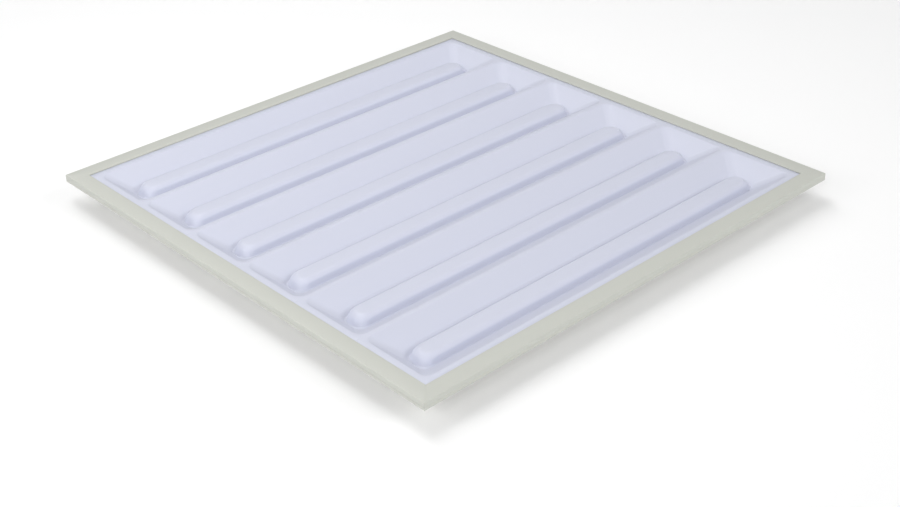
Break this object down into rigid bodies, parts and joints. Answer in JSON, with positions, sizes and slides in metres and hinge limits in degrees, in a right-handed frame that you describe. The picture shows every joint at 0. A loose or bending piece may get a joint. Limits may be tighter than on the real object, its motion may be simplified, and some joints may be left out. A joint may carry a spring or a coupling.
{
  "type": "recessed troffer light",
  "caption": "Square recessed panel light: slim mitred face frame round an opal diffuser pressed into long parallel troughs with raised ribs, on a shallow tray.",
  "frame": {"origin": "centre of the flat back, so the bottom centre of the bounding box", "axes": "+X across the troughs, +Y along the troughs towards the cable gland, +Z out of the luminous face; in a ceiling the face points down"},
  "size_m": [0.595, 0.595, 0.036],
  "materials": {
    "frame_paint": "satin off-white powder coat on extruded sides",
    "opal_sheet": "satin opal, cool white, light-scattering",
    "gasket_foam": "closed-cell foam, dull",
    "tray_paint": "white coated sheet steel, satin",
    "zinc_steel": "bright zinc plating",
    "reflector_white": "white diffuse coating",
    "board_white": "white solder mask on an aluminium core",
    "led_phosphor": "yellow phosphor gel, glossy",
    "connector_white": "moulded, fine texture",
    "wire_insulation": "smooth sleeve, one wire dark",
    "driver_shell": "grey coated sheet steel, satin",
    "circuit_green": "green solder mask",
    "winding_tape": "yellow winding tape on a dark core",
    "capacitor_sleeve": "dark shrink sleeve",
    "choke_copper": "enamelled copper winding",
    "heat_sink": "plain mill finish",
    "gear_cover_paint": "white diffuse coating",
    "box_steel": "galvanised sheet, faint spangle",
    "bushing_rubber": "dull black",
    "terminal_grey": "moulded, fine texture",
    "lever_blue": "moulded, satin",
    "brass": "plain machined",
    "gland_grey": "moulded nylon, satin",
    "seal_rubber": "dull black",
    "rail_plastic": "moulded, slippery"
  },
  "bodies": {
    "fixture": {"frame_side_near": "frame_paint", "frame_side_right": "frame_paint", "frame_side_far": "frame_paint", "frame_side_left": "frame_paint", "corner_keys": "zinc_steel", "fixing_blocks": "zinc_steel", "tray_screws": "zinc_steel", "diffuser": "opal_sheet", "rim_gasket": "gasket_foam", "back_tray": "tray_paint", "clinch_nuts": "zinc_steel", "led_board_1": "board_white", "led_board_2": "board_white", "led_board_3": "board_white", "led_board_4": "board_white", "led_board_5": "board_white", "led_board_6": "board_white", "led_packages": "led_phosphor", "bus_board": "circuit_green", "board_links": "connector_white", "bus_connector": "connector_white", "reflector_left": "reflector_white", "reflector_right": "reflector_white", "weld_studs": "zinc_steel", "stud_nuts": "zinc_steel", "driver_case": "driver_shell", "driver_lid": "driver_shell", "driver_board": "circuit_green", "driver_terminals": "connector_white", "driver_transformer": "winding_tape", "driver_capacitors": "capacitor_sleeve", "driver_choke": "choke_copper", "driver_heatsink": "heat_sink", "gear_cover": "gear_cover_paint", "led_wires": "wire_insulation", "mains_wires": "wire_insulation", "wiring_box": "box_steel", "wire_bushing": "bushing_rubber", "terminal_block": "terminal_grey", "lever_shaft": "zinc_steel", "earth_stud": "brass", "earth_washer": "brass", "earth_nut": "brass", "gland_body": "gland_grey", "gland_locknut": "gland_grey", "gland_seal": "seal_rubber", "gland_cap": "gland_grey", "guide_rails": "rail_plastic"},
    "access_plate": {"access_plate": "tray_paint"},
    "lever_1": {"terminal_lever_1": "lever_blue"},
    "lever_2": {"terminal_lever_2": "lever_blue"},
    "lever_3": {"terminal_lever_3": "lever_blue"}
  },
  "joints": [
    {"name": "access_slide", "type": "slide", "parent": "fixture", "child": "access_plate", "axis": [0, -1, 0], "range_m": [0, 0.062]},
    {"name": "lever_1_hinge", "type": "hinge", "parent": "fixture", "child": "lever_1", "pos_m": [-0.0076, 0.2052, 0.017], "axis": [1, 0, 0], "range_deg": [0, 85]},
    {"name": "lever_2_hinge", "type": "hinge", "parent": "fixture", "child": "lever_2", "pos_m": [0, 0.2052, 0.017], "axis": [1, 0, 0], "range_deg": [0, 85]},
    {"name": "lever_3_hinge", "type": "hinge", "parent": "fixture", "child": "lever_3", "pos_m": [0.0076, 0.2052, 0.017], "axis": [1, 0, 0], "range_deg": [0, 85]}
  ]
}
